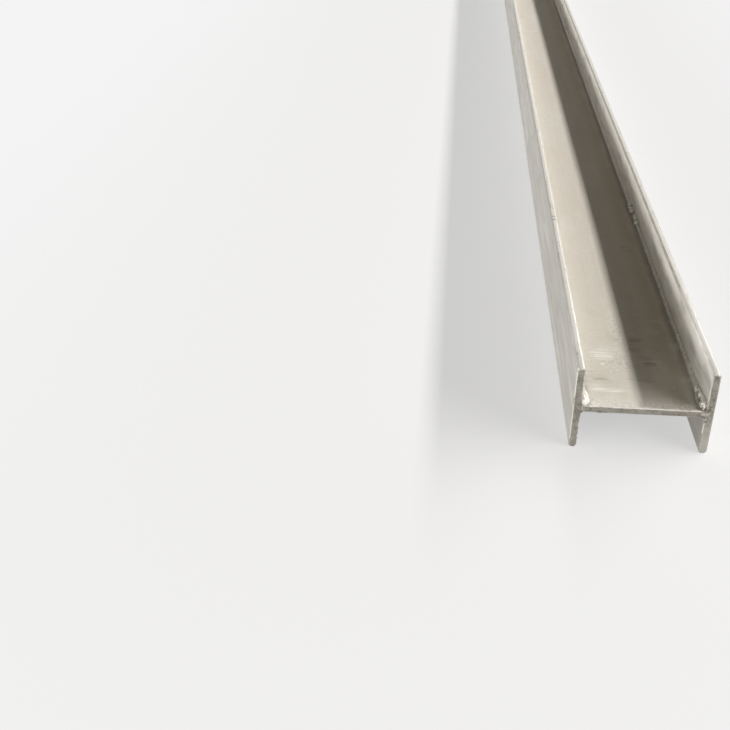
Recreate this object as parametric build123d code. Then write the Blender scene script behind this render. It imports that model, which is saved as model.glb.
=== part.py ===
from build123d import *
import os

# A welded steel H-beam, lying on the edges of its two flanges with its web level.
# Millimetres, +Z up, the beam along Y, the origin on the floor under the middle of the beam.

# Section and stock length
BEAM_LENGTH = 6000.0
SECTION_DEPTH = 150.0
FLANGE_WIDTH = 100.0
FLANGE_THICKNESS = 9.0
WEB_THICKNESS = 8.0

# Dressed edges of the plates
FLANGE_EDGE_RADIUS = 2.5
END_EDGE_RADIUS = 1.0

# Fillet welds, heavier where they are finished by hand at the two ends
WELD_LEG = 6.0
END_WELD_LEG = 10.0
END_WELD_LENGTH = 55.0
WELD_CROWN_SHARE = 0.1
END_SWELL_SHARES = ((0.0, 1.0), (0.35, 0.85), (0.7, 0.25), (1.0, 0.0))

# A stop on both upper runs, where the beads were started again by hand and stand thicker
RESTART_FROM_NEAR_END = 570.0
RESTART_LENGTH = 110.0
RESTART_LEG = 8.0
RESTART_SWELL_SHARES = ((-0.5, 0.0), (-0.3, 0.8), (-0.1, 0.6), (0.05, 1.0), (0.25, 0.3), (0.5, 0.0))

# Places that the plates and the welds share
web_depth = SECTION_DEPTH - 2 * FLANGE_THICKNESS
flange_inner_x = web_depth / 2
flange_middle_x = flange_inner_x + FLANGE_THICKNESS / 2
web_middle_z = FLANGE_WIDTH / 2
weld_end_y = BEAM_LENGTH / 2 - END_EDGE_RADIUS


def flange_plate(side):
    """Flat bar on edge, its long edges rounded and its cut ends broken all round."""
    section = Plane.XZ * RectangleRounded(FLANGE_THICKNESS, FLANGE_WIDTH, FLANGE_EDGE_RADIUS)
    bar = extrude(section, BEAM_LENGTH / 2, both=True)
    end_faces = bar.faces().filter_by(Axis.Y)
    bar = fillet(end_faces.edges(), END_EDGE_RADIUS)
    return Pos(side * flange_middle_x, 0, web_middle_z) * bar


def web_plate():
    """Plate cut to butt square on both flanges, broken along the top and bottom of its cut ends."""
    plate = Box(web_depth, BEAM_LENGTH, WEB_THICKNESS)
    end_faces = plate.faces().filter_by(Axis.Y)
    plate = fillet(end_faces.edges().filter_by(Axis.X), END_EDGE_RADIUS)
    return Pos(0, 0, web_middle_z) * plate


def weld_section(leg, y, side, face):
    """Fillet weld of one leg length across the beam: two flat legs under a crowned face."""
    into_channel = Vector(-side, 0, 0)
    off_web = Vector(0, 0, face)
    root = Vector(side * flange_inner_x, y, web_middle_z + face * WEB_THICKNESS / 2)
    web_toe = root + into_channel * leg
    flange_toe = root + off_web * leg
    crown = (web_toe + flange_toe) / 2 + (into_channel + off_web).normalized() * leg * WELD_CROWN_SHARE
    outline = [Line(root, web_toe), ThreePointArc(web_toe, crown, flange_toe), Line(flange_toe, root)]
    return make_face(outline)


def fillet_weld(side, face, restarted):
    """One bead along a corner of the section: a machine run, thicker at its ends and at any restart."""
    stations = []
    for along_share, swell_share in END_SWELL_SHARES:
        y = weld_end_y - END_WELD_LENGTH * along_share
        leg = WELD_LEG + (END_WELD_LEG - WELD_LEG) * swell_share
        stations += [(-y, leg), (y, leg)]
    if restarted:
        for along_share, swell_share in RESTART_SWELL_SHARES:
            y = RESTART_FROM_NEAR_END + RESTART_LENGTH * along_share - BEAM_LENGTH / 2
            leg = WELD_LEG + (RESTART_LEG - WELD_LEG) * swell_share
            stations.append((y, leg))
    sections = [weld_section(leg, y, side, face) for y, leg in sorted(stations)]
    return loft(sections, ruled=True)


nodes = {"web_plate": web_plate()}
for side_name, side in (("left", -1), ("right", 1)):
    nodes[f"flange_plate_{side_name}"] = flange_plate(side)
    for face_name, face in (("upper", 1), ("lower", -1)):
        nodes[f"weld_{face_name}_{side_name}"] = fillet_weld(side, face, restarted=face_name == "upper")

os.makedirs("parts", exist_ok=True)
for name, solid in nodes.items():
    export_step(solid, f"parts/{name}.step")
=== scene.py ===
import math
import random

import bmesh
import bpy
from mathutils import Matrix, Vector, noise


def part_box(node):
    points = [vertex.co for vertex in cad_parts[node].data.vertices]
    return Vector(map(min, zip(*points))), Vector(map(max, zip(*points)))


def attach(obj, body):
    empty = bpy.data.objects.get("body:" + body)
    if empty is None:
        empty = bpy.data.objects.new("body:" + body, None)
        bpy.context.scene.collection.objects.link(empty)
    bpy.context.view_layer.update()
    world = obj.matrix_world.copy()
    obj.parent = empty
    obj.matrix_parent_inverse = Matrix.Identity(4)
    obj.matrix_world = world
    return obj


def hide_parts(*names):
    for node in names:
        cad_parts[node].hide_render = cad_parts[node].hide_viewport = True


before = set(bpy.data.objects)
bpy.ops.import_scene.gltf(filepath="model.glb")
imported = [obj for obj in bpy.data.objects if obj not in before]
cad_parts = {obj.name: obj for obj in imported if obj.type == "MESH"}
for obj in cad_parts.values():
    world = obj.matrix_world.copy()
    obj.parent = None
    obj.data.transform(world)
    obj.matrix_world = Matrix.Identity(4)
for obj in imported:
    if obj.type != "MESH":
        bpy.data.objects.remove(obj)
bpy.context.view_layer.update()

# The web: a plate 8 mm thick that lies level between the flanges, rolled and pickled to a matt warm grey.
# It was cut through with the finished beam, so its ends are a little ragged and their upper edge is
# rubbed bright, with a painted highlight. Handling has left crosswise scuffs, and the pickling a cloudy haze.
# Its right side is painted darker and browner towards the right flange: painted shade.
web_low, web_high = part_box("web_plate")
near_end = web_low.y
far_end = web_high.y
web_middle = (web_low.z + web_high.z) / 2
WEB_END_ROUND = 0.0015
ROUND_SEGMENTS = 4
SHARP_ANGLE = 0.5
LONG_EDGE = 1.0
WEB_STRIPS = 44
PLATE_STEPS = 240
END_KEEP = 0.004
END_CROWDING = 0.9
WEB_WAVE = 0.0003
WEB_WAVE_PER_M = Vector((5.0, 1.8, 0.0))
CUT_ZONE = 0.0013
CUT_DEPTH = 0.0009
CUT_GRAIN_PER_M = 190
# How squarely a face looks along the beam, from 0 to 1, if it belongs to a cut end
CUT_FACE_SQUARENESS = 0.95
BURR_MIDDLE = -0.046
BURR_REACH = 0.017
BURR_HEIGHT = 0.0020
BURRS_PER_M = 170
BURR_LAYERS_PER_M = 300
BURR_SEED = 0.7
ARRIS_SLACK = 0.00002
# A plate's picture map: length of a row, the ends' share of the height, margins, squareness of an end
BAKE_ROW = 1.0
BAKE_END_SHARE = 0.06
BAKE_END_MARGIN = 0.1
BAKE_EDGE = 0.006
BAKE_END_SQUARENESS = 0.75

WEB_WARM = (0.672, 0.620, 0.548, 1)
WEB_COOL = (0.692, 0.654, 0.594, 1)
WEB_END_GREY = (0.640, 0.608, 0.535, 1)
HAZE_PALE = (0.765, 0.740, 0.695, 1)
SCUFF_AND_SHADE_DARK = (0.340, 0.312, 0.268, 1)
GRIME_AND_SHADE = (0.260, 0.235, 0.190, 1)
# Painted shade of the right flange on the web's right side: brown, then darker towards the weld
RIGHT_SHADE_BROWN = (0.590, 0.525, 0.435, 1)
RIGHT_SHADE_DARK = (0.400, 0.350, 0.275, 1)
BARE_STEEL_AND_HIGHLIGHT = (0.880, 0.860, 0.815, 1)
CUT_GREY = (0.385, 0.362, 0.312, 1)
CUT_DARK = (0.205, 0.190, 0.160, 1)
CUT_PALE = (0.600, 0.570, 0.520, 1)
STEEL_SPECULAR = 0.12
CLOUD_ROUGHNESS = 0.55
PLATE_RELIEF = 0.00016
WEB_ROUGHNESS = (0.58, 0.74)
WEB_METAL = 0.02
CUT_RELIEF = 0.0004
CUT_ROUGHNESS = (0.45, 0.62)
CUT_METAL = 0.20
# Where the web's tones start and end, in metres: from a cut end, across the beam, or from a weld
END_GREY_SPAN = (0.15, 0.50)
END_WEAR_SPAN = (0.002, 0.030)
WEB_HANDLED_SPAN = (0.10, 0.40)
RIGHT_SHADE_SPAN = (-0.005, 0.045)
DEEP_RIGHT_SHADE_SPAN = (0.025, 0.062)
WELD_HAZE_SPAN = (0.016, 0.034)
WELD_HAZE_RAGGED = 0.022
TOE_DIRT_AND_SHADE_SPAN = (0.003, 0.011)
# Where weld metal shows on a cut end, across and up from the joint, and where the end turns rough or pale
FUSED_ACROSS = 0.006
FUSED_UP = 0.015
ROUGH_SIDE_SPAN = (-0.06, 0.06)
LOW_RIGHT_SPAN = (0.010, 0.060)
LOW_SPAN = (0.010, 0.048)
# Marks on the upper face: across the beam, along it from the near end, half width, half length, darkness
WEB_MARKS = (
    (0.0110, 0.156, 0.0095, 0.0065, 0.80),
    (0.0080, 0.130, 0.0095, 0.0060, 0.70),
    (0.0210, 0.098, 0.0085, 0.0055, 0.70),
    (0.0170, 0.112, 0.0110, 0.0050, 0.40),
    (0.0330, 0.436, 0.0060, 0.0060, 0.45),
    (0.0400, 0.424, 0.0070, 0.0050, 0.40),
    (-0.0400, 0.058, 0.0090, 0.0040, 0.55),
    (-0.0330, 0.037, 0.0190, 0.0060, -0.70),
    (-0.0440, 0.045, 0.0080, 0.0040, -0.50),
    (-0.0300, 0.117, 0.0160, 0.0130, -0.65),
    (-0.0330, 0.094, 0.0026, 0.0030, -1.0),
    (-0.0240, 1.852, 0.0250, 0.0030, -0.60),
    (0.0300, 1.855, 0.0220, 0.0030, -0.60),
)
# Patches of small flecks on the upper face: across, along from the near end, half width, half length
FLECK_PATCHES = (
    (-0.0070, 0.175, 0.0110, 0.085),
    (-0.0180, 0.098, 0.0160, 0.030),
)


def plate_blank(low, high):
    """A square-edged plate between two corners of the frame, as a bmesh."""
    bm = bmesh.new()
    bmesh.ops.create_cube(bm, size=1)
    place = Matrix.Translation((low + high) / 2) @ Matrix.Diagonal((*(high - low), 1))
    bmesh.ops.transform(bm, matrix=place, verts=bm.verts)
    return bm


def round_over(bm, edges, radius):
    """Rounds edges to a radius."""
    bmesh.ops.bevel(bm, geom=edges, offset=radius, affect="EDGES", segments=ROUND_SEGMENTS,
                    profile=0.5, material=-1)


def end_edges(bm):
    """The sharp edges round the two ends of a plate."""
    level = [e for e in bm.edges if abs(e.verts[0].co.y - e.verts[1].co.y) < ARRIS_SLACK]
    return [e for e in level if e.calc_face_angle(0) > SHARP_ANGLE]


def long_edges(bm):
    """The edges that run along the beam, before they are divided."""
    return [e for e in bm.edges if abs(e.verts[0].co.y - e.verts[1].co.y) > LONG_EDGE]


def cut_across(bm, normal, places):
    """Cuts all faces along planes square to normal, so that they can be shaped."""
    for place in places:
        geometry = bm.verts[:] + bm.edges[:] + bm.faces[:]
        bmesh.ops.bisect_plane(bm, geom=geometry, plane_co=Vector(normal) * place, plane_no=normal)


def even_places(low, high, count):
    """The places that divide a span into count even strips."""
    return [low + (high - low) * i / count for i in range(1, count)]


def divide_length(bm):
    """Sets the two ends of a plate apart and divides the length between them evenly."""
    cut_across(bm, (0, 1, 0), (near_end + END_KEEP, far_end - END_KEEP))
    bmesh.ops.subdivide_edges(bm, edges=long_edges(bm), cuts=PLATE_STEPS - 1)


def crowd_ends(bm):
    """Moves the even divisions towards the two ends, where a plate has most to show."""
    start = near_end + END_KEEP
    length = far_end - near_end - 2 * END_KEEP
    for v in bm.verts:
        share = (v.co.y - start) / length
        if 0 < share < 1:
            share -= END_CROWDING * math.sin(2 * math.pi * share) / (2 * math.pi)
            v.co.y = start + length * share


def mark_arrises(bm, low, high):
    """Sets the attribute arris to 1 along rounded edges: there a point lies on no face of the plate."""
    arris = bm.verts.layers.float.new("arris")
    for v in bm.verts:
        gaps = [abs(v.co[i] - corner[i]) for i in range(3) for corner in (low, high)]
        v[arris] = float(min(gaps) > ARRIS_SLACK)


def bake_map(bm, low, high):
    """Unrolls a plate into a picture map: rows of a metre one above the other, the two ends on top."""
    layer = bm.loops.layers.uv.new("OFBake")
    rows = round((high.y - low.y) / BAKE_ROW)
    width = high.x - low.x
    height = high.z - low.z
    girth = 2 * (width + height)
    for face in bm.faces:
        n = face.normal
        middle = face.calc_center_median()
        row = min(rows - 1, int((middle.y - low.y) / BAKE_ROW))
        for loop in face.loops:
            x = loop.vert.co.x - low.x
            z = loop.vert.co.z - low.z
            if abs(n.y) > BAKE_END_SQUARENESS:
                u = z / height if height > width else x / width
                v = x / width if height > width else z / height
                start = 0.0 if n.y < 0 else 0.5
                u = start + 0.5 * (BAKE_EDGE + (1 - 2 * BAKE_EDGE) * u)
                v = 1 - BAKE_END_SHARE * (BAKE_END_MARGIN + (1 - 2 * BAKE_END_MARGIN) * v)
            else:
                if abs(n.x) > abs(n.z):
                    run = width + z if n.x > 0 else 2 * width + 2 * height - z
                else:
                    run = x if n.z < 0 else 2 * width + height - x
                along = (loop.vert.co.y - low.y - row * BAKE_ROW) / BAKE_ROW
                u = BAKE_EDGE + (1 - 2 * BAKE_EDGE) * along
                v = (row + BAKE_EDGE + (1 - 2 * BAKE_EDGE) * run / girth) / rows * (1 - BAKE_END_SHARE)
            loop[layer].uv = (u, v)


def rough_cut(bm):
    """Gives the cut ends the second material and sets them back unevenly."""
    for face in bm.faces:
        face.material_index = int(abs(face.normal.y) > CUT_FACE_SQUARENESS)
    for v in bm.verts:
        for end, inward in ((near_end, 1), (far_end, -1)):
            if abs(v.co.y - end) < CUT_ZONE:
                v.co.y += inward * CUT_DEPTH * (0.5 + 0.5 * noise.noise(v.co * CUT_GRAIN_PER_M))


def finished_piece(name, bm, materials, node):
    """Makes a bmesh an object that rides on the beam and stands for its CAD node, if it has one."""
    mesh = bpy.data.meshes.new(name)
    for face in bm.faces:
        face.smooth = True
    bm.to_mesh(mesh)
    bm.free()
    for material in materials:
        mesh.materials.append(material)
    piece = bpy.data.objects.new(name, mesh)
    bpy.context.scene.collection.objects.link(piece)
    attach(piece, "root")
    if node:
        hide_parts(node)


def add(tree, kind, inputs, **settings):
    """Adds a shader node, sets it, and fills its inputs with values or links."""
    made = tree.nodes.new("ShaderNode" + kind)
    for name, value in settings.items():
        setattr(made, name, value)
    for key, value in inputs.items():
        if isinstance(value, bpy.types.NodeSocket):
            tree.links.new(value, made.inputs[key])
        else:
            made.inputs[key].default_value = value
    return made


def sums(tree, operation, first, second=0.0):
    """One step of arithmetic on sockets or numbers."""
    return add(tree, "Math", {0: first, 1: second}, operation=operation).outputs[0]


def ramp(tree, value, start, end, low=0.0, high=1.0):
    """Follows value smoothly from low at start to high at end."""
    inputs = {"Value": value, "From Min": start, "From Max": end, "To Min": low, "To Max": high}
    return add(tree, "MapRange", inputs, interpolation_type="SMOOTHSTEP").outputs[0]


def cloud(tree, place, per_m, detail, offset=(0, 0, 0)):
    """Noise with so many lumps a metre each way, from 0 to 1."""
    moved = add(tree, "Mapping", {"Vector": place, "Location": offset, "Scale": per_m})
    inputs = {"Vector": moved.outputs[0], "Scale": 1.0, "Detail": detail, "Roughness": CLOUD_ROUGHNESS}
    return add(tree, "TexNoise", inputs).outputs["Fac"]


def paint(tree, share, under, over):
    """Lays one colour over another by a share."""
    return add(tree, "Mix", {0: share, 6: under, 7: over}, data_type="RGBA").outputs[2]


def paint_where(tree, share, pattern, under, over):
    """Lays one colour over another by a share, where a pattern shows."""
    return paint(tree, sums(tree, "MULTIPLY", share, pattern), under, over)


def steel_material(name):
    """A new material with its node tree, the beam's own coordinates and their three parts."""
    material = bpy.data.materials.new(name)
    material.use_nodes = True
    tree = material.node_tree
    place = add(tree, "TexCoord", {}).outputs["Object"]
    return material, tree, place, add(tree, "SeparateXYZ", {"Vector": place}).outputs


def finish_steel(tree, colour, roughness, height, relief, metal):
    """Joins colour, roughness and relief to the shader of a steel surface."""
    shader = tree.nodes["Principled BSDF"]
    bump = add(tree, "Bump", {"Height": height, "Strength": 1.0, "Distance": relief})
    tree.links.new(colour, shader.inputs["Base Color"])
    tree.links.new(roughness, shader.inputs["Roughness"])
    tree.links.new(bump.outputs[0], shader.inputs["Normal"])
    shader.inputs["Metallic"].default_value = metal
    shader.inputs["Specular IOR Level"].default_value = STEEL_SPECULAR


def from_cut(tree, along):
    """How far a place lies from the nearer cut end, in metres."""
    return sums(tree, "SUBTRACT", far_end, sums(tree, "ABSOLUTE", along))


def far_from(tree, place, x, y, half_width, half_length):
    """Distance from a spot that is seen from above, counted in the spot's own half sizes."""
    size = (1 / half_width, 1 / half_length, 0)
    spot = (-x / half_width, -(near_end + y) / half_length, 0)
    off = add(tree, "Mapping", {"Vector": place, "Location": spot, "Scale": size})
    return add(tree, "VectorMath", {0: off.outputs[0]}, operation="LENGTH").outputs["Value"]


def marked(tree, place, tone, marks):
    """Lays marks over a colour, each broken into strokes across the beam: dark scuffs or bright rubs."""
    strokes = cloud(tree, place, (30, 330, 30), 3, (0, 0, 5))
    broken = ramp(tree, strokes, 0.40, 0.56, 1.0, 0.25)
    for x, y, half_width, half_length, darkness in marks:
        far = far_from(tree, place, x, y, half_width, half_length)
        mark = ramp(tree, sums(tree, "ADD", far, strokes), 1.0, 1.7, abs(darkness), 0.0)
        tone = paint_where(tree, mark, broken, tone, SCUFF_AND_SHADE_DARK if darkness > 0 else BARE_STEEL_AND_HIGHLIGHT)
    return tone


def pickled_steel(tree, place, warm, cool, streaking):
    """Rolled and pickled plate: cloudy tone, streaks along the beam, sandy grain. Gives colour and height."""
    haze = cloud(tree, place, (11, 3.5, 11), 4)
    tone = paint(tree, ramp(tree, haze, 0.35, 0.68), warm, cool)
    pale = ramp(tree, cloud(tree, place, (26, 5, 26), 5, (3, 1, 7)), 0.54, 0.74, 0.0, 0.5)
    tone = paint(tree, pale, tone, HAZE_PALE)
    streaks = cloud(tree, place, (420, 5, 420), 3, (0, 4, 0))
    tone = paint(tree, ramp(tree, streaks, 0.42, 0.74, 0.0, streaking), tone, SCUFF_AND_SHADE_DARK)
    grain = cloud(tree, place, (620, 420, 620), 3)
    tone = paint(tree, ramp(tree, grain, 0.45, 0.78, 0.0, 0.30), tone, SCUFF_AND_SHADE_DARK)
    tone = paint(tree, ramp(tree, grain, 0.22, 0.50, 0.30, 0.0), tone, HAZE_PALE)
    return tone, sums(tree, "ADD", sums(tree, "MULTIPLY", streaks, 0.4), grain)


def web_steel():
    """The web's faces: pickled steel with scuffs, marks, a hazy band beside each weld, pale ends, painted
    shade on the right side and by the welds' toes, and painted highlights on the end edges.
    """
    material, tree, place, parts = steel_material("pickled_web")
    tone, height = pickled_steel(tree, place, WEB_WARM, WEB_COOL, 0.10)
    from_end = from_cut(tree, parts["Y"])
    tone = paint(tree, ramp(tree, from_end, *END_GREY_SPAN, 0.7, 0.0), tone, WEB_END_GREY)
    # Painted shade: towards the right flange the web is painted browner, then darker
    tone = paint(tree, ramp(tree, parts["X"], *RIGHT_SHADE_SPAN, 0.0, 0.8), tone, RIGHT_SHADE_BROWN)
    tone = paint(tree, ramp(tree, parts["X"], *DEEP_RIGHT_SHADE_SPAN, 0.0, 0.7), tone, RIGHT_SHADE_DARK)
    from_weld = sums(tree, "SUBTRACT", web_high.x, sums(tree, "ABSOLUTE", parts["X"]))
    ragged = cloud(tree, place, (60, 14, 60), 4, (5, 0, 2))
    ragged = sums(tree, "MULTIPLY", ragged, WELD_HAZE_RAGGED)
    band = ramp(tree, sums(tree, "ADD", from_weld, ragged), *WELD_HAZE_SPAN, 0.4, 0.0)
    tone = paint(tree, band, tone, HAZE_PALE)
    speckle = cloud(tree, place, (300, 240, 300), 4, (2, 2, 2))
    worn = ramp(tree, from_end, *END_WEAR_SPAN, 0.55, 0.0)
    tone = paint_where(tree, worn, ramp(tree, speckle, 0.35, 0.6), tone, BARE_STEEL_AND_HIGHLIGHT)
    # Beside the welds' toes the web is painted darker: dirt, and painted shade in the corner
    toe = sums(tree, "SUBTRACT", from_weld, sums(tree, "MULTIPLY", ragged, 0.25))
    tone = paint(tree, ramp(tree, toe, *TOE_DIRT_AND_SHADE_SPAN, 0.55, 0.0), tone, GRIME_AND_SHADE)
    scuffs = cloud(tree, place, (26, 170, 26), 4, (9, 2, 4))
    handled = ramp(tree, from_end, *WEB_HANDLED_SPAN, 0.9, 0.12)
    tone = paint_where(tree, handled, ramp(tree, scuffs, 0.60, 0.72, 0.0, 0.40), tone, SCUFF_AND_SHADE_DARK)
    tone = paint_where(tree, handled, ramp(tree, scuffs, 0.26, 0.40, 0.45, 0.0), tone, HAZE_PALE)
    patches = cloud(tree, place, (34, 24, 34), 5, (1, 7, 1))
    tone = paint_where(tree, handled, ramp(tree, patches, 0.54, 0.70, 0.0, 0.45), tone, HAZE_PALE)
    tone = paint_where(tree, handled, ramp(tree, patches, 0.28, 0.44, 0.18, 0.0), tone, SCUFF_AND_SHADE_DARK)
    tone = marked(tree, place, tone, WEB_MARKS)
    flecks = cloud(tree, place, (300, 190, 300), 4, (8, 3, 1))
    for x, y, half_width, half_length in FLECK_PATCHES:
        patch = ramp(tree, far_from(tree, place, x, y, half_width, half_length), 0.5, 1.2, 1.0, 0.0)
        tone = paint_where(tree, patch, ramp(tree, flecks, 0.55, 0.70, 0.0, 0.28), tone, GRIME_AND_SHADE)
        tone = paint_where(tree, patch, ramp(tree, flecks, 0.32, 0.45, 0.45, 0.0), tone, BARE_STEEL_AND_HIGHLIGHT)
    # The rounded end edges: rubbed bright metal, with painted highlights
    arris = add(tree, "Attribute", {}, attribute_name="arris").outputs["Fac"]
    tone = paint_where(tree, arris, ramp(tree, speckle, 0.30, 0.55, 0.25, 0.9), tone, BARE_STEEL_AND_HIGHLIGHT)
    roughness = ramp(tree, height, 0.4, 1.0, *WEB_ROUGHNESS)
    finish_steel(tree, tone, roughness, height, PLATE_RELIEF, WEB_METAL)
    return material


def cut_steel():
    """The cut ends: a dull, mottled grey with a fine grain and pits, and weld metal showing at the joints."""
    material, tree, place, parts = steel_material("cut_end")
    mottle = cloud(tree, place, (110, 110, 110), 5)
    grain = cloud(tree, place, (700, 700, 700), 3, (2, 0, 0))
    tone = paint(tree, ramp(tree, mottle, 0.36, 0.70), CUT_GREY, CUT_DARK)
    tone = paint(tree, ramp(tree, grain, 0.50, 0.72, 0.0, 0.35), tone, HAZE_PALE)
    pits = ramp(tree, cloud(tree, place, (260, 260, 260), 2, (7, 1, 3)), 0.68, 0.76, 0.0, 0.8)
    tone = paint(tree, pits, tone, CUT_DARK)
    across = sums(tree, "ABSOLUTE", sums(tree, "SUBTRACT", sums(tree, "ABSOLUTE", parts["X"]), web_high.x))
    upward = sums(tree, "ABSOLUTE", sums(tree, "SUBTRACT", parts["Z"], web_middle))
    across = sums(tree, "DIVIDE", across, FUSED_ACROSS)
    upward = sums(tree, "DIVIDE", upward, FUSED_UP)
    reach = sums(tree, "MAXIMUM", across, upward)
    clots = cloud(tree, place, (210, 210, 210), 3, (1, 5, 2))
    fused = paint(tree, ramp(tree, clots, 0.38, 0.62), CUT_DARK, CUT_PALE)
    rough_side = ramp(tree, parts["X"], *ROUGH_SIDE_SPAN, 0.35, 1.0)
    welded = ramp(tree, sums(tree, "ADD", reach, clots), 1.15, 1.60, 1.0, 0.0)
    tone = paint_where(tree, rough_side, welded, tone, fused)
    low_right = sums(tree, "SUBTRACT", parts["X"], parts["Z"])
    low_right = ramp(tree, low_right, *LOW_RIGHT_SPAN, 0.0, 0.70)
    tone = paint(tree, low_right, tone, CUT_PALE)
    tone = paint(tree, ramp(tree, parts["Z"], *LOW_SPAN, 0.28, 0.0), tone, CUT_PALE)
    # The rounded edges of the cut ends: rubbed bright metal, with painted highlights
    arris = add(tree, "Attribute", {}, attribute_name="arris").outputs["Fac"]
    tone = paint(tree, sums(tree, "MULTIPLY", arris, 0.35), tone, BARE_STEEL_AND_HIGHLIGHT)
    height = sums(tree, "SUBTRACT", sums(tree, "ADD", mottle, sums(tree, "MULTIPLY", grain, 0.4)), pits)
    roughness = ramp(tree, mottle, 0.3, 0.7, *CUT_ROUGHNESS)
    finish_steel(tree, tone, roughness, height, CUT_RELIEF, CUT_METAL)
    return material


cut_end = cut_steel()
web = plate_blank(web_low, web_high)
level_ends = [e for e in end_edges(web) if abs(e.verts[0].co.z - e.verts[1].co.z) < ARRIS_SLACK]
round_over(web, level_ends, WEB_END_ROUND)
cut_across(web, (1, 0, 0), even_places(web_low.x, web_high.x, WEB_STRIPS))
divide_length(web)
mark_arrises(web, web_low, web_high)
bake_map(web, web_low, web_high)
crowd_ends(web)
for v in web.verts:
    if v.co.y < near_end + CUT_ZONE:
        torn = max(0.0, 1 - abs(v.co.x - BURR_MIDDLE) / BURR_REACH)
        grain = Vector((v.co.x * BURRS_PER_M, v.co.z * BURR_LAYERS_PER_M, BURR_SEED))
        v.co.z += BURR_HEIGHT * torn * noise.noise(grain)
    v.co.z += WEB_WAVE * noise.noise(v.co * WEB_WAVE_PER_M)
rough_cut(web)
finished_piece("web", web, [web_steel(), cut_end], "web_plate")

# The flanges: two flat bars 9 mm thick that stand on edge and carry the web between them.
# Rolled and pickled like the web, their long edges round from the rolls, the arrises worn bright near the cut
# ends, with painted highlights there, and nicked by handling. Beside the welds a band is painted, grey by the
# ends and then hazy.
FLANGE_EDGE_ROUND = 0.0031
FLANGE_END_ROUND = 0.0017
FLANGE_FOOT_ROUND = 0.0035
FLANGE_STRIPS_UP = 12
FLANGE_STRIPS_THICK = 3
FLANGE_WAVE = 0.0004
FLANGE_WAVE_PER_M = Vector((0.0, 1.6, 4.0))
WELDED_HEIGHT = 0.007
EDGE_WEAR = 0.0011
EDGE_WEAR_PER_M = Vector((150, 45, 0))
FOOT_WEAR = 0.0022
FOOT_WEAR_REACH = 0.005
TOP_WEAR = 0.0016
FLANGE_WARM = (0.610, 0.585, 0.535, 1)
FLANGE_COOL = (0.630, 0.617, 0.585, 1)
FLANGE_PINK = (0.680, 0.630, 0.600, 1)
OUTER_FACE_SHADE = (0.440, 0.424, 0.392, 1)
SMEAR_GREY = (0.330, 0.338, 0.312, 1)
WELD_SIDE_GREY = (0.450, 0.442, 0.390, 1)
TOP_PALE = (0.760, 0.740, 0.697, 1)
FLANGE_ROUGHNESS = (0.40, 0.58)
FLANGE_METAL = 0.20
# Where the flanges' tones start and end, in metres. First by the distance from a cut end
BAND_END_SPAN = (0.08, 0.30)
HAZE_END_SPAN = (0.5, 1.2)
FLANGE_HANDLED_SPAN = (0.15, 0.60)
TOP_END_SPAN = (0.01, 0.07)
DARK_ARRIS_END_SPAN = (0.06, 0.26)
BARE_AND_HIGHLIT_END_SPAN = (0.06, 0.17)
CUT_EDGE_SPAN = (0.0025, 0.0040)
# By the height from the web's middle, from the long edges or from the floor
BAND_SPAN = (0.022, 0.040)
BAND_RAGGED = 0.02
INNER_HAZE_SPAN = (0.015, 0.040)
TOP_PALE_EDGE_SPAN = (-0.0022, -0.0006)
TOP_SPAN = (-0.006, -0.001)
UNDER_WEB_SPAN = (0.030, 0.046)
# Across the beam, from its middle, and for the rubbed and highlighted arrises from their own middles
OUTER_SPAN = (0.0715, 0.0745)
TOP_PALE_SPAN = (0.0720, 0.0745)
INNER_SPAN = (0.067, 0.070)
INNER_EDGE_SPAN = (0.0695, 0.0715)
DARK_ARRIS_SIDE_SPAN = (-0.02, 0.02)
RUB_AND_HIGHLIGHT_SPAN = (0.0015, 0.0030)
RUB_AND_HIGHLIGHT_TAIL = 0.004
# Upright arrises of the cut ends that are rubbed bright and carry painted highlights: across, middle height,
# half height, brightness
RUBS_AND_HIGHLIGHTS_AT_ENDS = (
    (-0.0745, 0.0820, 0.0200, 0.95),
    (-0.0745, 0.0330, 0.0240, 0.70),
    (-0.0665, 0.0800, 0.0160, 0.25),
    (0.0665, 0.0800, 0.0150, 0.45),
    (0.0665, 0.0320, 0.0090, 0.90),
)
# Nicks on top of the left flange, in the same order as the marks on the web
FLANGE_MARKS = (
    (-0.0702, 0.420, 0.0036, 0.0036, 1.00),
    (-0.0698, 0.431, 0.0034, 0.0036, 0.90),
    (-0.0722, 0.474, 0.0012, 0.0120, 0.90),
    (-0.0685, 0.462, 0.0015, 0.0080, 0.60),
    (-0.0668, 0.745, 0.0010, 0.0160, 0.90),
    (-0.0668, 0.800, 0.0010, 0.0110, 0.80),
    (-0.0668, 0.870, 0.0010, 0.0200, 0.90),
    (-0.0668, 0.925, 0.0010, 0.0120, 0.80),
)


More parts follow.
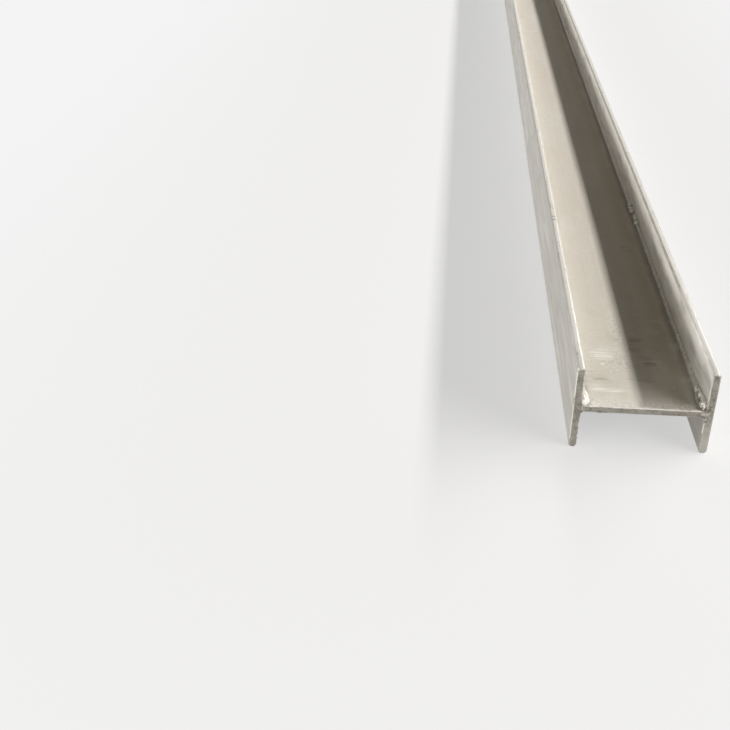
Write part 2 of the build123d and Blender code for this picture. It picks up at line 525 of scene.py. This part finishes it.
def flange_steel():
    """The flanges' faces: pickled steel with streaks, a grey band by the welds, nicked and rubbed arrises
    with painted highlights, and painted shade on the outer faces and below the web.
    """
    material, tree, place, parts = steel_material("pickled_flange")
    tone, height = pickled_steel(tree, place, FLANGE_WARM, FLANGE_COOL, 0.08)
    from_web = sums(tree, "ABSOLUTE", sums(tree, "SUBTRACT", parts["Z"], web_middle))
    from_middle = sums(tree, "ABSOLUTE", parts["X"])
    from_end = from_cut(tree, parts["Y"])
    ragged = sums(tree, "MULTIPLY", cloud(tree, place, (70, 6, 70), 4, (1, 3, 6)), BAND_RAGGED)
    band = ramp(tree, sums(tree, "ADD", from_web, ragged), *BAND_SPAN, 0.65, 0.0)
    tone = paint_where(tree, band, ramp(tree, from_end, *BAND_END_SPAN, 1.0, 0.15), tone, WELD_SIDE_GREY)
    inner_haze = ramp(tree, from_web, *INNER_HAZE_SPAN, 0.7, 0.0)
    tone = paint_where(tree, inner_haze, ramp(tree, from_end, *HAZE_END_SPAN), tone, HAZE_PALE)
    handled = ramp(tree, from_end, *FLANGE_HANDLED_SPAN, 1.0, 0.35)
    mottle = cloud(tree, place, (80, 22, 110), 4, (2, 9, 4))
    tone = paint_where(tree, handled, ramp(tree, mottle, 0.52, 0.64, 0.0, 0.70), tone, WELD_SIDE_GREY)
    tone = paint_where(tree, handled, ramp(tree, mottle, 0.30, 0.46, 0.60, 0.0), tone, FLANGE_PINK)
    # Painted shade: the outer faces are painted darker and cooler than the inner ones
    outward = ramp(tree, from_middle, *OUTER_SPAN, 0.0, 0.8)
    tone = paint(tree, outward, tone, OUTER_FACE_SHADE)
    runs = cloud(tree, place, (60, 5, 75), 5, (0, 8, 0))
    tone = paint(tree, ramp(tree, runs, 0.48, 0.74, 0.0, 0.40), tone, HAZE_PALE)
    smears = cloud(tree, place, (70, 12, 90), 5, (3, 0, 1))
    tone = paint(tree, ramp(tree, smears, 0.48, 0.72, 0.0, 0.60), tone, SMEAR_GREY)
    from_edge = sums(tree, "SUBTRACT", from_web, web_middle)
    # The tops of the flanges are painted paler, least towards the outer arris
    top_pale = ramp(tree, from_middle, *TOP_PALE_SPAN, 0.85, 0.1)
    tone = paint_where(tree, top_pale, ramp(tree, from_edge, *TOP_PALE_EDGE_SPAN), tone, TOP_PALE)
    top = ramp(tree, from_edge, *TOP_SPAN)
    tone = paint_where(tree, top, ramp(tree, from_end, *TOP_END_SPAN, 0.35, 0.0), tone, WELD_SIDE_GREY)
    # Painted shade: the inner faces below the web are painted darker
    inward = ramp(tree, from_middle, *INNER_SPAN, 1.0, 0.0)
    under_web = ramp(tree, parts["Z"], *UNDER_WEB_SPAN, 0.5, 0.0)
    tone = paint_where(tree, inward, under_web, tone, SCUFF_AND_SHADE_DARK)
    nicks = cloud(tree, place, (260, 45, 260), 4, (4, 4, 4))
    chipped = ramp(tree, nicks, 0.60, 0.68, 0.0, 0.65)
    tone = paint_where(tree, top, chipped, tone, SCUFF_AND_SHADE_DARK)
    arris = add(tree, "Attribute", {}, attribute_name="arris").outputs["Fac"]
    # Away from the cut ends the arrises are painted darker, most on the right flange
    darkened_arris = ramp(tree, parts["X"], *DARK_ARRIS_SIDE_SPAN, 0.35, 0.9)
    darkened_arris = sums(tree, "MULTIPLY", darkened_arris, ramp(tree, from_end, *DARK_ARRIS_END_SPAN))
    tone = paint_where(tree, arris, darkened_arris, tone, SCUFF_AND_SHADE_DARK)
    # Near the cut ends the arrises are rubbed bright and carry painted highlights, broken by nicks
    inner_edge = ramp(tree, from_middle, *INNER_EDGE_SPAN, 1.0, 0.25)
    bare_and_highlit = sums(tree, "MULTIPLY", inner_edge, ramp(tree, from_end, *BARE_AND_HIGHLIT_END_SPAN, 0.9, 0.2))
    bare_and_highlit = sums(tree, "MULTIPLY", bare_and_highlit, ramp(tree, nicks, 0.38, 0.52, 1.0, 0.0))
    cut_edge = ramp(tree, from_end, *CUT_EDGE_SPAN, 1.0, 0.0)
    tone = paint_where(tree, arris, sums(tree, "MULTIPLY", cut_edge, 0.65), tone, CUT_GREY)
    for x, middle_height, half_height, brightness in RUBS_AND_HIGHLIGHTS_AT_ENDS:
        beside = sums(tree, "ABSOLUTE", sums(tree, "SUBTRACT", parts["X"], x))
        above = sums(tree, "ABSOLUTE", sums(tree, "SUBTRACT", parts["Z"], middle_height))
        rub_and_highlight = sums(tree, "MULTIPLY", cut_edge, ramp(tree, beside, *RUB_AND_HIGHLIGHT_SPAN, brightness, 0.0))
        rub_and_highlight = sums(tree, "MULTIPLY", rub_and_highlight, ramp(tree, above, half_height - RUB_AND_HIGHLIGHT_TAIL, half_height, 1.0, 0.0))
        bare_and_highlit = sums(tree, "MAXIMUM", bare_and_highlit, rub_and_highlight)
    tone = paint_where(tree, arris, bare_and_highlit, tone, BARE_STEEL_AND_HIGHLIGHT)
    tone = marked(tree, place, tone, FLANGE_MARKS)
    roughness = ramp(tree, height, 0.4, 1.0, *FLANGE_ROUGHNESS)
    finish_steel(tree, tone, roughness, height, PLATE_RELIEF, FLANGE_METAL)
    return material


pickled_flange = flange_steel()
for name, inward in (("left", 1), ("right", -1)):
    low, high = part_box(f"flange_plate_{name}")
    inner_x = high.x if inward > 0 else low.x
    bar = plate_blank(low, high)
    runs = long_edges(bar)
    foot_edges = [e for e in runs if e.verts[0].co.z < web_low.z]
    round_over(bar, [e for e in runs if e not in foot_edges], FLANGE_EDGE_ROUND)
    round_over(bar, foot_edges, FLANGE_FOOT_ROUND)
    welded = (web_low.z - WELDED_HEIGHT, web_high.z + WELDED_HEIGHT)
    cut_across(bar, (0, 0, 1), welded)
    free_edges = []
    for edge in end_edges(bar):
        middle = (edge.verts[0].co + edge.verts[1].co) / 2
        if abs(middle.x - inner_x) > ARRIS_SLACK or not welded[0] < middle.z < welded[1]:
            free_edges.append(edge)
    round_over(bar, free_edges, FLANGE_END_ROUND)
    cut_across(bar, (0, 0, 1), even_places(low.z, high.z, FLANGE_STRIPS_UP))
    cut_across(bar, (1, 0, 0), even_places(low.x, high.x, FLANGE_STRIPS_THICK))
    divide_length(bar)
    mark_arrises(bar, low, high)
    bake_map(bar, low, high)
    crowd_ends(bar)
    arris_layer = bar.verts.layers.float["arris"]
    for v in bar.verts:
        to_middle = Vector(((low.x + high.x) / 2 - v.co.x, 0, web_middle - v.co.z)).normalized()
        if v[arris_layer] and near_end + END_KEEP < v.co.y < far_end - END_KEEP:
            v.co += to_middle * EDGE_WEAR * max(0.0, noise.noise(v.co * EDGE_WEAR_PER_M))
        if v.co.z < welded[0] and v.co.y < near_end + END_KEEP:
            v.co.y += FOOT_WEAR * max(0.0, 1 - abs(v.co.x - inner_x) / FOOT_WEAR_REACH) ** 2
        if v.co.z > high.z - FLANGE_EDGE_ROUND and v.co.y < near_end + END_KEEP / 2:
            v.co.z -= TOP_WEAR * (abs(v.co.x - inner_x) / (high.x - low.x)) ** 2
        v.co.x += inward * FLANGE_WAVE * (0.5 + 0.5 * noise.noise(v.co * FLANGE_WAVE_PER_M))
    rough_cut(bar)
    finished_piece(f"flange_{name}", bar, [pickled_flange, cut_end], f"flange_plate_{name}")

# The welds: one fillet bead in each corner between web and flange, along the whole beam.
# The long run was laid by machine and is nearly smooth. The last two fingers' breadth at each end, and a stop
# on the upper runs, were laid by hand: thick, lumpy and rippled. The cut went through their ends.
RUN_LEG = 0.0052
# Legs on the web and on the flange, each at a distance from the end
PLAIN_LEGS = ((0.0, 0.0022), (0.006, 0.0045), (0.016, 0.0080), (0.050, RUN_LEG))
PLAIN_END = (PLAIN_LEGS, PLAIN_LEGS)
LEFT_END = (
    ((0.0, 0.0032), (0.002, 0.0066), (0.006, 0.0100), (0.013, 0.0122), (0.034, 0.0080), (0.085, RUN_LEG)),
    ((0.0, 0.0030), (0.002, 0.0056), (0.010, 0.0085), (0.030, 0.0095), (0.085, RUN_LEG)),
)
RIGHT_END = (
    ((0.0, 0.0035), (0.005, 0.0062), (0.018, 0.0077), (0.048, RUN_LEG)),
    ((0.0, 0.0080), (0.004, 0.0116), (0.020, 0.0100), (0.050, 0.0070), (0.085, RUN_LEG)),
)
HAND_REACH = 0.055
STOP_PLACE = 0.560
STOP_REACH = 0.080
# Lumps of the stop: place from the near end and half length
STOP_NUBS = ((0.535, 0.024), (0.587, 0.026))
NUB_RISE = 0.0026
NUB_FLANGE_SHARE = 0.6
NUB_HAND_SHARE = 0.5
# Slow and quick changes of the legs: how many a metre, their share of a leg, and a row of the noise
SWAYS_PER_M = 30
SWAY_SHARE = 0.10
SWAY_ROW = 0.3
WAVERS_PER_M = 42
WAVER_SHARE = 0.06
WAVER_ROW = 5.1
WELD_CROWN = 0.0005
RISE_SHARE = 0.7
CUT_HOLLOW = 0.0013
CUT_HOLLOW_REACH = 0.005
WELD_SINK = 0.0012
RING = 14
RIPPLE_PITCH = 0.0036
RIPPLE_BOW = 0.0022
RIPPLE_MEAN = 0.64
HAND_RIPPLE = 0.0004
RUN_RIPPLE_SHARE = 0.06
HAND_LUMP = 0.0019
RUN_LUMP = 0.0005
# Lumps, finer lumps and pits of a bead's face: how many a metre, and how many across it
LUMPS = (150, 1.8)
FINE_LUMPS = (360, 4.2)
FINE_LUMP_SHARE = 0.6
PITS = (825, 9)
# How pale a bead is painted: its middle, a painted highlight along its belly and its unevenness add,
# and painted shade round the stop and at the toes takes away
CREST_MIDDLE = 0.50
CREST_RIDGE_HIGHLIGHT = 0.10
CREST_LUMP = 0.14
CREST_WAVER = 0.10
LUMP_LIGHT_AND_SHADE = 1.1
RIPPLE_LIGHT_AND_SHADE = 0.6
PIT_DARK = 0.7
STOP_SHADE = 0.55
NUB_SHADE = 0.06
TOE_SHADE = 0.30
TOE_HAND_SHADE = 0.35
TOE_NARROWNESS = 1.8
TOE_END_REACH = 0.004
TOE_MIDDLE = 0.7
TOE_LEAST = 0.2
WELD_GREY = (0.325, 0.310, 0.263, 1)
WELD_PALE = (0.660, 0.645, 0.600, 1)
WELD_CREVICE_SHADE = (0.130, 0.118, 0.092, 1)
WELD_RELIEF = 0.0003
WELD_ROUGHNESS = (0.34, 0.52)
WELD_SHINE = 0.25
RUN_PALES_BETWEEN = (near_end + 0.3, near_end + 1.1)
bead_length = far_end - near_end - CUT_DEPTH
# Stretches of a bead: where each starts, and its steps, which are finest in the hand-laid ones
STRETCHES = (
    (0.0, 240),
    (0.12, 112),
    (0.46, 260),
    (0.65, 1444),
    (bead_length - 0.12, 240),
    (bead_length, 0),
)


def weld_metal():
    """Pickled weld metal, mottled: painted highlights on the crests, painted shade in the crevices of the
    hand-laid stretches and at the toes.
    """
    material, tree, place, parts = steel_material("weld_metal")
    crest = add(tree, "Attribute", {}, attribute_name="crest").outputs["Fac"]
    mottle = cloud(tree, place, (240, 170, 240), 5)
    tone = paint(tree, ramp(tree, mottle, 0.42, 0.70, 0.0, 0.4), WELD_GREY, WELD_PALE)
    tone = paint(tree, ramp(tree, parts["Y"], *RUN_PALES_BETWEEN, 0.0, 0.28), tone, WELD_PALE)
    # Painted shade in the crevices and at the toes, painted highlight on the crests
    tone = paint(tree, ramp(tree, crest, 0.12, 0.48, 0.85, 0.0), tone, WELD_CREVICE_SHADE)
    tone = paint(tree, ramp(tree, crest, 0.56, 0.85, 0.0, 0.85), tone, WELD_PALE)
    ripples = cloud(tree, place, (120, 520, 120), 2, (6, 0, 0))
    height = sums(tree, "ADD", mottle, sums(tree, "MULTIPLY", ripples, 0.6))
    roughness = ramp(tree, mottle, 0.3, 0.7, *WELD_ROUGHNESS)
    finish_steel(tree, tone, roughness, height, WELD_RELIEF, WELD_SHINE)
    return material


def profile(points, place):
    """Follows a line of points, level at each of them."""
    for (start, low), (end, high) in zip(points, points[1:]):
        if place < end:
            share = (place - start) / (end - start)
            return low + (high - low) * share * share * (3 - 2 * share)
    return points[-1][1]


def bead_places():
    """The place along the beam of each step of a bead."""
    places = []
    for (start, steps), (end, _) in zip(STRETCHES, STRETCHES[1:]):
        places += [start + (end - start) * step / steps for step in range(steps)]
    return places + [bead_length]


def drawn_ring(steps):
    """A ring of points drawn out along the beam in so many steps of 1, closed at both ends."""
    bm = bmesh.new()
    upright = Matrix.Rotation(math.pi / 2, 4, "X")
    bmesh.ops.create_circle(bm, cap_ends=True, segments=RING, radius=1, matrix=upright)
    drawn = bmesh.ops.extrude_face_region(bm, geom=bm.faces[:])
    moved = [v for v in drawn["geom"] if isinstance(v, bmesh.types.BMVert)]
    bmesh.ops.translate(bm, verts=moved, vec=(0, steps, 0))
    bmesh.ops.subdivide_edges(bm, edges=long_edges(bm), cuts=steps - 1)
    return bm


def bead_noise(seed, along, turn, per_m, across):
    """Noise over the face of a bead, with so many lumps a metre and so many across it."""
    return noise.noise(Vector((seed, along * per_m, across * turn)))


def weld_bead(side, face, ends, lumpiness, paleness, seed):
    """Shapes one bead from a ring of points drawn out along the corner of the section."""
    places = bead_places()
    bm = drawn_ring(len(places) - 1)
    spoke_turn = 2 * math.pi / RING
    crest_layer = bm.verts.layers.float.new("crest")
    root_x = side * web_high.x
    root_z = web_middle + face * (web_high.z - web_low.z) / 2
    for v in bm.verts:
        along = places[round(v.co.y)]
        spoke = round(math.atan2(v.co.z, v.co.x) / spoke_turn) % RING
        y = near_end + CUT_DEPTH / 2 + along
        if spoke == 0:
            v.co = (root_x + side * WELD_SINK, y, root_z - face * WELD_SINK)
            continue
        turn = (spoke - 1) / (RING - 2)
        belly = 4 * turn * (1 - turn)
        to_end = min(along, bead_length - along)
        web_legs, flange_legs = ends if along < bead_length / 2 else PLAIN_END
        stop = max(0.0, 1 - abs(along - STOP_PLACE) / STOP_REACH) * (face > 0)
        nub = max(max(0.0, 1 - ((along - place) / half) ** 2) for place, half in STOP_NUBS) * (face > 0)
        end_share = max(0.0, 1 - to_end / HAND_REACH)
        hand = max(end_share, NUB_HAND_SHARE * nub)
        sway = noise.noise(Vector((seed, along * SWAYS_PER_M, SWAY_ROW)))
        waver = noise.noise(Vector((seed, along * WAVERS_PER_M, WAVER_ROW)))
        swell = NUB_RISE * nub
        web_leg = (profile(web_legs, to_end) + swell) * (1 + SWAY_SHARE * sway + WAVER_SHARE * waver)
        flange_leg = (profile(flange_legs, to_end) + NUB_FLANGE_SHARE * swell) * (1 - SWAY_SHARE * sway)
        lump = bead_noise(seed, along, turn, *LUMPS)
        lump += FINE_LUMP_SHARE * bead_noise(seed, along, turn, *FINE_LUMPS)
        pitting = bead_noise(seed, along, turn, *PITS)
        phase = (along + RIPPLE_BOW * (2 * turn - 1) ** 2) / RIPPLE_PITCH
        ripple = abs(math.sin(math.pi * phase)) - RIPPLE_MEAN
        rise = belly * (
            WELD_CROWN * (1 + 2 * hand)
            + lump * (RUN_LUMP + HAND_LUMP * hand * lumpiness)
            + ripple * HAND_RIPPLE * min(1.0, RUN_RIPPLE_SHARE + hand * lumpiness)
            - CUT_HOLLOW * max(0.0, 1 - to_end / CUT_HOLLOW_REACH)
        )
        into = web_leg * (1 - turn) + rise * RISE_SHARE - WELD_SINK * (turn == 1)
        up = flange_leg * turn + rise * RISE_SHARE - WELD_SINK * (turn == 0)
        toe = (1 - belly) ** TOE_NARROWNESS * min(1.0, to_end / TOE_END_REACH)
        toe *= max(TOE_LEAST, TOE_MIDDLE + waver)
        # Hand-laid lumps and ripples are painted pale on top and dark below, painted light and shade; pits
        # are painted dark
        relief_light_and_shade = LUMP_LIGHT_AND_SHADE * lump + RIPPLE_LIGHT_AND_SHADE * ripple + PIT_DARK * pitting
        crest = CREST_MIDDLE + CREST_RIDGE_HIGHLIGHT * belly
        crest += (1 - end_share) * (CREST_LUMP * lump + CREST_WAVER * waver)
        crest += end_share * paleness + hand * belly * lumpiness * relief_light_and_shade
        # Painted shade round the stop, on its nubs and along the toes
        crest -= STOP_SHADE * max(0.0, stop - nub) + NUB_SHADE * nub
        crest -= (TOE_SHADE + TOE_HAND_SHADE * hand) * toe
        v[crest_layer] = crest
        v.co = (root_x - side * into, y, root_z + face * up)
    bmesh.ops.recalc_face_normals(bm, faces=bm.faces)
    for bead_face in bm.faces:
        if len(bead_face.verts) > 4:
            bead_face.material_index = 1
            for edge in bead_face.edges:
                edge.smooth = False
    return bm


bead_metal = weld_metal()
# Each bead's corner, its shape at the near end, how lumpy and how pale its hand-laid metal is, and a seed
BEADS = (
    ("upper_left", -1, 1, LEFT_END, 0.15, 0.20, 2.7),
    ("upper_right", 1, 1, RIGHT_END, 1.40, 0.10, 9.1),
    ("lower_left", -1, -1, PLAIN_END, 0.80, 0.10, 14.6),
    ("lower_right", 1, -1, PLAIN_END, 0.80, 0.10, 21.3),
)
for name, side, face, ends, lumpiness, paleness, seed in BEADS:
    bead = weld_bead(side, face, ends, lumpiness, paleness, seed)
    finished_piece(f"bead_{name}", bead, [bead_metal, cut_end], f"weld_{name}")

# Weld spatter: small drops of weld metal that froze on the plates beside the welds.
# They sit on the web and on the inner faces of the flanges, thickest by the hand-laid stretches.
SPATTER_COUNT = 220
SPATTER_SEED = 11
SPATTER_SIZES = (0.0003, 0.0008)
PATCH_SIZES = (0.0003, 0.0010)
SPATTER_FROM_END = 0.004
# Every third drop lies anywhere along the beam, the others near an end, half of them by the near one
STRAY_DROP = 3
SPATTER_END_SPREAD = 0.12
SPATTER_NEAR_SHARE = 0.5
# Drops on the web and on the flanges: how far from the corner they start, scatter and reach
SPATTER_WEB_SHARE = 0.7
SPATTER_OFF_CORNER = 0.009
SPATTER_SCATTER = 0.012
SPATTER_WEB_REACH = 0.06
SPATTER_FLANGE_REACH = 0.036
# How a drop is drawn out and flattened on each surface
FLAT_ON_WEB = (1, 1.3, 0.4, 1)
FLAT_ON_FLANGE = (0.4, 1.3, 1, 1)
FLAT_IN_PATCH = (1, 1.3, 0.35, 1)
# Patches on the upper face of the web: where across, how far along from the near end, and how many drops
SPATTER_PATCHES = (
    ((-0.062, -0.048), (1.16, 1.50), 70),
    ((-0.012, 0.002), (0.13, 0.24), 22),
    ((-0.050, -0.010), (0.07, 0.16), 12),
)
spatter_draw = random.Random(SPATTER_SEED)
spatter = bmesh.new()
spatter_crest = spatter.verts.layers.float.new("crest")
drops = []
for drop in range(SPATTER_COUNT):
    side = spatter_draw.choice((-1, 1))
    face = spatter_draw.choice((-1, 1))
    if drop % STRAY_DROP:
        along = SPATTER_FROM_END + abs(spatter_draw.gauss(0, SPATTER_END_SPREAD))
    else:
        along = spatter_draw.uniform(SPATTER_FROM_END, far_end)
    y = near_end + along if spatter_draw.random() < SPATTER_NEAR_SHARE else far_end - along
    off = SPATTER_OFF_CORNER + spatter_draw.expovariate(1 / SPATTER_SCATTER)
    surface = web_middle + face * (web_high.z - web_low.z) / 2
    if spatter_draw.random() < SPATTER_WEB_SHARE:
        spot = Vector((side * (web_high.x - min(off, SPATTER_WEB_REACH)), y, surface))
        drops.append((spot, FLAT_ON_WEB, SPATTER_SIZES))
    else:
        spot = Vector((side * web_high.x, y, surface + face * min(off, SPATTER_FLANGE_REACH)))
        drops.append((spot, FLAT_ON_FLANGE, SPATTER_SIZES))
for (left, right), (start, end), count in SPATTER_PATCHES:
    for drop in range(count):
        x = spatter_draw.uniform(left, right)
        y = near_end + spatter_draw.uniform(start, end)
        drops.append((Vector((x, y, web_high.z)), FLAT_IN_PATCH, PATCH_SIZES))
for spot, flat, sizes in drops:
    radius = spatter_draw.uniform(*sizes)
    place = Matrix.Translation(spot) @ Matrix.Diagonal(flat)
    made = bmesh.ops.create_icosphere(spatter, subdivisions=2, radius=radius, matrix=place)
    for v in made["verts"]:
        v[spatter_crest] = 1.0
finished_piece("weld_spatter", spatter, [bead_metal], None)

# Studio floor: a plain pale sheet under the beam, which keeps the beam's soft shadow.
# The camera and the steel see it pale, and from a metre off as pale as the room. The light that it throws
# back on the beam is that of a grey floor.
FLOOR_SIZE = 60
FLOOR_GREY = (0.20, 0.20, 0.20, 1)
FLOOR_WHITE = (0.95, 0.95, 0.95, 1)
FLOOR_ROUGHNESS = 0.9
# How far from the beam the floor starts and ends to fade into the room, and its share of the room beside it
FLOOR_FADE = (0.2, 1.2)
FLOOR_LIFT = 0.60
ROOM_WHITE = (0.90, 0.90, 0.90, 1)


def seen_directly(tree):
    """1 for what the camera sees, also in a mirror or through glass, 0 for light that falls on things."""
    path = add(tree, "LightPath", {}).outputs
    mirrored = sums(tree, "MAXIMUM", path["Is Glossy Ray"], path["Is Transmission Ray"])
    return sums(tree, "MAXIMUM", path["Is Camera Ray"], mirrored)


floor_mesh = bpy.data.meshes.new("floor")
floor_bm = bmesh.new()
bmesh.ops.create_grid(floor_bm, x_segments=1, y_segments=1, size=FLOOR_SIZE / 2)
floor_bm.to_mesh(floor_mesh)
floor_bm.free()
floor_paint = bpy.data.materials.new("floor_white")
floor_paint.use_nodes = True
floor_tree = floor_paint.node_tree
floor_seen = seen_directly(floor_tree)
floor_shader = floor_tree.nodes["Principled BSDF"]
floor_shader.inputs["Roughness"].default_value = FLOOR_ROUGHNESS
floor_shader.inputs["Specular IOR Level"].default_value = 0.0
floor_colour = paint(floor_tree, floor_seen, FLOOR_GREY, FLOOR_WHITE)
floor_tree.links.new(floor_colour, floor_shader.inputs["Base Color"])
floor_glow = add(floor_tree, "Emission", {"Color": ROOM_WHITE, "Strength": 1.0}).outputs[0]
floor_place = add(floor_tree, "TexCoord", {}).outputs["Object"]
floor_parts = add(floor_tree, "SeparateXYZ", {"Vector": floor_place}).outputs
floor_beyond = sums(floor_tree, "SUBTRACT", sums(floor_tree, "ABSOLUTE", floor_parts["Y"]), far_end)
floor_beyond = sums(floor_tree, "MAXIMUM", floor_beyond, 0.0)
floor_beside = sums(floor_tree, "ABSOLUTE", floor_parts["X"])
floor_away = add(floor_tree, "CombineXYZ", {"X": floor_beside, "Y": floor_beyond}).outputs[0]
floor_away = add(floor_tree, "VectorMath", {0: floor_away}, operation="LENGTH").outputs["Value"]
floor_lift = ramp(floor_tree, floor_away, *FLOOR_FADE, FLOOR_LIFT, 1.0)
floor_share = sums(floor_tree, "MULTIPLY", floor_seen, floor_lift)
floor_mix = add(floor_tree, "MixShader", {0: floor_share, 1: floor_shader.outputs[0], 2: floor_glow})
floor_tree.links.new(floor_mix.outputs[0], floor_tree.nodes["Material Output"].inputs["Surface"])
floor_mesh.materials.append(floor_paint)
floor = bpy.data.objects.new("floor", floor_mesh)
bpy.context.scene.collection.objects.link(floor)

# Studio light: a long soft strip to the right lights the web over the right flange, a low one to the left
# lights what faces left, and a panel in front and to the left lifts the cut ends. The room itself is dim.
# Each lamp's place, length and height, power and colour
LIGHTS = {
    "right_strip": ((8.4, 0.0, 5.5), (24.0, 0.8), 2380, (1.0, 0.985, 0.96)),
    "left_strip": ((-8.0, -1.0, 1.0), (18.0, 0.85), 640, (1.0, 0.99, 0.975)),
    "front_panel": ((-6.0, -9.0, 1.2), (4.0, 2.0), 310, (1.0, 0.985, 0.95)),
}
ROOM_DIM = (0.031, 0.027, 0.017, 1)
for name, (place, (width, height), power, colour) in LIGHTS.items():
    lamp = bpy.data.lights.new(name, "AREA")
    lamp.shape = "RECTANGLE"
    lamp.size = width
    lamp.size_y = height
    lamp.energy = power
    lamp.color = colour
    stand = bpy.data.objects.new(name, lamp)
    stand.location = place
    stand.visible_camera = False
    aim = Vector((0, near_end if name == "front_panel" else place[1], web_middle))
    stand.rotation_euler = (aim - Vector(place)).to_track_quat("-Z", "Y").to_euler()
    bpy.context.scene.collection.objects.link(stand)
room = bpy.data.worlds.new("room")
room.use_nodes = True
room_tree = room.node_tree
room_colour = paint(room_tree, seen_directly(room_tree), ROOM_DIM, ROOM_WHITE)
room_tree.links.new(room_colour, room_tree.nodes["Background"].inputs["Color"])
bpy.context.scene.world = room

# Camera: in front of the near end and to its left, looking down along the beam, as the photograph was taken.
CAMERA_FROM_NEAR_END = Vector((-0.2154, -0.9578, 0.5968))
CAMERA_TURN = (math.radians(60.03), math.radians(-0.1), math.radians(5.1))
CAMERA_LENS = 50.9
CAMERA_SENSOR = 36.0
camera_data = bpy.data.cameras.new("camera")
camera_data.lens = CAMERA_LENS
camera_data.sensor_width = CAMERA_SENSOR
camera = bpy.data.objects.new("camera", camera_data)
camera.location = Vector((0, near_end, web_middle)) + CAMERA_FROM_NEAR_END
camera.rotation_euler = CAMERA_TURN
bpy.context.scene.collection.objects.link(camera)
bpy.context.scene.camera = camera
bpy.context.scene.view_settings.view_transform = "Standard"
